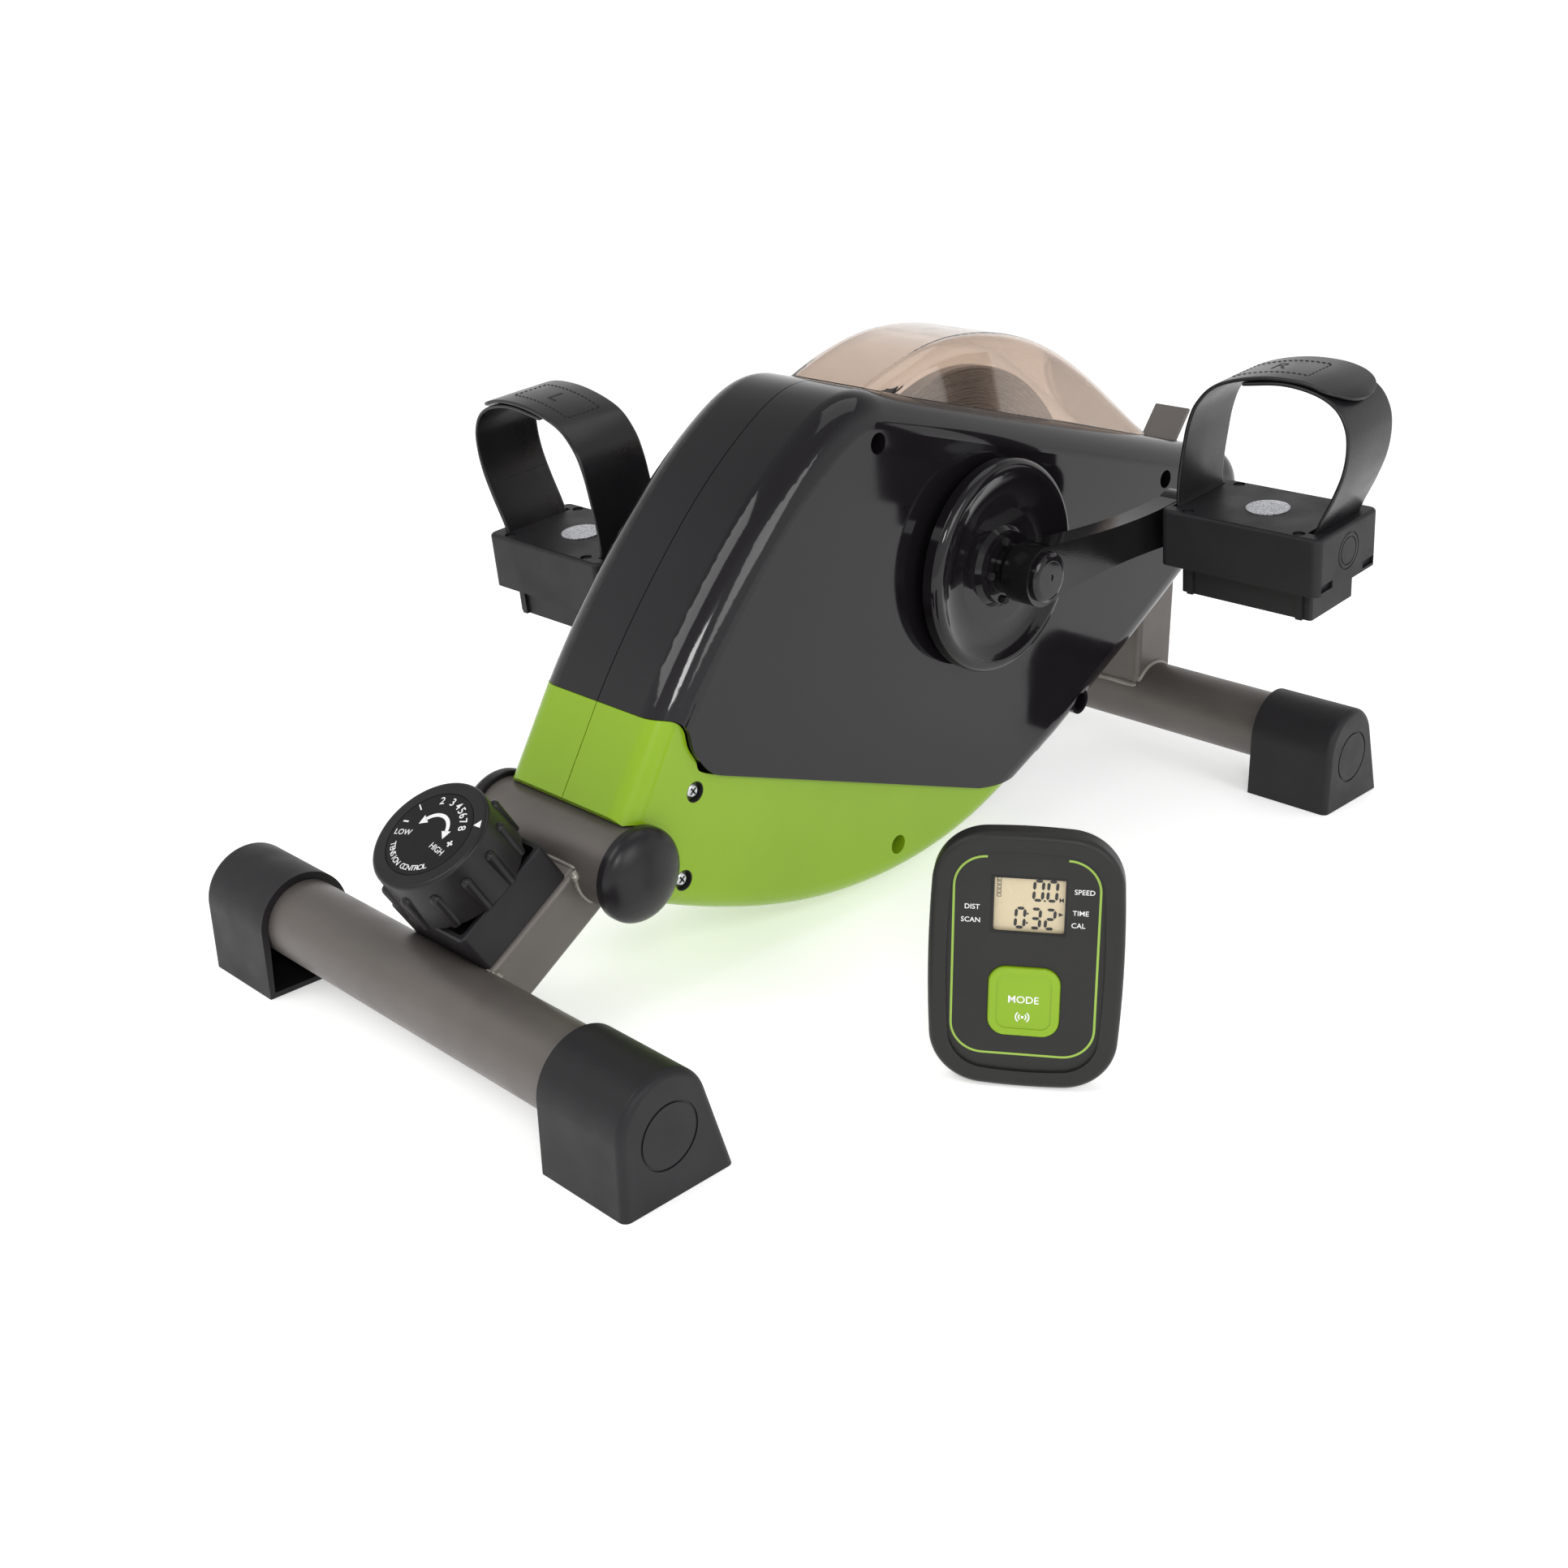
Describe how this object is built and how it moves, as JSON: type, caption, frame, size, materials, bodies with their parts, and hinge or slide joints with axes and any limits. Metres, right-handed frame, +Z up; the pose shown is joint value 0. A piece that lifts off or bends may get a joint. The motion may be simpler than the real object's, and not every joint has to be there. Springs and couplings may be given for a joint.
{
  "type": "under-desk pedal exerciser",
  "caption": "Floor-standing pedal exerciser: tube frame with four feet, enclosed belt drive and flywheel, strapped pedals on crank arms, tension knob and separate display console.",
  "frame": {"origin": "centre of the bounding box in X and Y, on the floor", "axes": "+X to the rider's right, +Y from the knob end towards the rear stabiliser, +Z up"},
  "size_m": [0.4914, 0.6717, 0.3188],
  "materials": {
    "frame_paint": "satin taupe grey powder coat",
    "bare_steel": "turned steel",
    "zinc_screw": "bright zinc",
    "matte_black": "moulded, fine grain",
    "gloss_black": "polished",
    "green": "polished green",
    "smoke": "clear smoked plastic",
    "belt_rubber": "matt",
    "aluminium": "cast",
    "cast_weight": "black painted casting",
    "strap_fabric": "satin coated strap with black stitching",
    "reflector": "silver glitter",
    "dial_print": "black with white print",
    "magnet": "nickel plated",
    "lcd": "liquid crystal display",
    "button": "satin green",
    "board": "green laminate",
    "crank_paint": "gloss black enamel"
  },
  "bodies": {
    "frame": {"front_stabilizer_tube": "frame_paint", "rear_stabilizer_tube": "frame_paint", "front_left_foot": "matte_black", "front_right_foot": "matte_black", "rear_left_foot": "matte_black", "rear_right_foot": "matte_black", "neck_tube": "frame_paint", "handle_bar": "frame_paint", "handle_end_caps": "matte_black", "knob_tray": "matte_black", "dial_plate": "dial_print", "spine_tube": "frame_paint", "rear_post": "frame_paint", "bottom_bracket_shell": "frame_paint", "crank_bearings": "bare_steel", "spine_brackets": "frame_paint", "brake_pivot_pin": "bare_steel", "brake_cable": "bare_steel", "drive_belts": "belt_rubber", "left_upper_cover": "gloss_black", "right_upper_cover": "gloss_black", "left_lower_cover": "green", "right_lower_cover": "green", "cover_lugs": "frame_paint", "cover_screws": "zinc_screw", "dome_cover": "smoke", "console_bracket": "frame_paint", "speed_sender": "matte_black"},
    "crankset": {"crank_axle": "bare_steel", "drive_pulley": "aluminium", "right_crank_arm": "crank_paint", "left_crank_arm": "crank_paint", "crank_covers": "gloss_black", "crank_disc_screws": "zinc_screw", "pedal_spindles": "bare_steel", "speed_magnet": "magnet"},
    "jackshaft": {"jackshaft": "bare_steel", "jackshaft_pulley": "aluminium"},
    "flywheel": {"flywheel": "bare_steel", "flywheel_bearings": "bare_steel"},
    "right_pedal": {"right_pedal_body": "matte_black", "right_pedal_counterweight": "cast_weight", "right_pedal_reflector": "reflector", "right_pedal_strap": "strap_fabric", "right_pedal_screws": "zinc_screw"},
    "left_pedal": {"left_pedal_body": "matte_black", "left_pedal_counterweight": "cast_weight", "left_pedal_reflector": "reflector", "left_pedal_strap": "strap_fabric", "left_pedal_screws": "zinc_screw"},
    "knob": {"tension_knob": "matte_black"},
    "brake_arm": {"brake_arm": "frame_paint", "brake_magnets": "magnet"},
    "console": {"console_front_case": "gloss_black", "console_back_case": "matte_black", "console_display": "lcd", "console_circuit_board": "board", "console_coin_cell": "bare_steel"},
    "mode_button": {"mode_button": "button"},
    "cell_cover": {"console_cell_cover": "matte_black"}
  },
  "joints": [
    {"name": "crank_spin", "type": "hinge", "parent": "frame", "child": "crankset", "pos_m": [-0.01955, 0.05522, 0.1915], "axis": [1, 0, 0], "continuous": true},
    {"name": "jackshaft_spin", "type": "hinge", "parent": "frame", "child": "jackshaft", "pos_m": [-0.01955, 0.17762, 0.202], "axis": [1, 0, 0], "continuous": true},
    {"name": "flywheel_spin", "type": "hinge", "parent": "frame", "child": "flywheel", "pos_m": [0.00745, 0.05522, 0.1915], "axis": [1, 0, 0], "continuous": true},
    {"name": "right_pedal_spin", "type": "hinge", "parent": "crankset", "child": "right_pedal", "pos_m": [0.14445, 0.17492, 0.2045], "axis": [1, 0, 0], "continuous": true},
    {"name": "left_pedal_spin", "type": "hinge", "parent": "crankset", "child": "left_pedal", "pos_m": [-0.18355, -0.06448, 0.1785], "axis": [1, 0, 0], "continuous": true},
    {"name": "knob_turn", "type": "hinge", "parent": "frame", "child": "knob", "pos_m": [-0.01955, -0.28605, 0.09728], "axis": [0, -0.5446, 0.8387], "range_deg": [0, 122]},
    {"name": "brake_arm_swing", "type": "hinge", "parent": "frame", "child": "brake_arm", "pos_m": [0.00745, -0.05127, 0.11693], "axis": [1, 0, 0], "range_deg": [-8.2, 0]},
    {"name": "console_lift_off", "type": "slide", "parent": "frame", "child": "console", "axis": [1, 0, 0], "range_m": [0, 0.25]},
    {"name": "mode_button_press", "type": "slide", "parent": "console", "child": "mode_button", "axis": [-0.5728, 0.818, -0.0523], "range_m": [0, 0.0008], "stiffness_N_per_m": 600},
    {"name": "cell_cover_turn", "type": "hinge", "parent": "console", "child": "cell_cover", "pos_m": [0.19979, -0.11466, 0.0879], "axis": [0.5728, -0.818, 0.0523], "range_deg": [0, 30]}
  ],
  "couplings": [
    {"joint": "jackshaft_spin", "follows": "crank_spin", "ratio": 4},
    {"joint": "flywheel_spin", "follows": "crank_spin", "ratio": 7.2},
    {"joint": "brake_arm_swing", "follows": "knob_turn", "ratio": -0.0656}
  ]
}
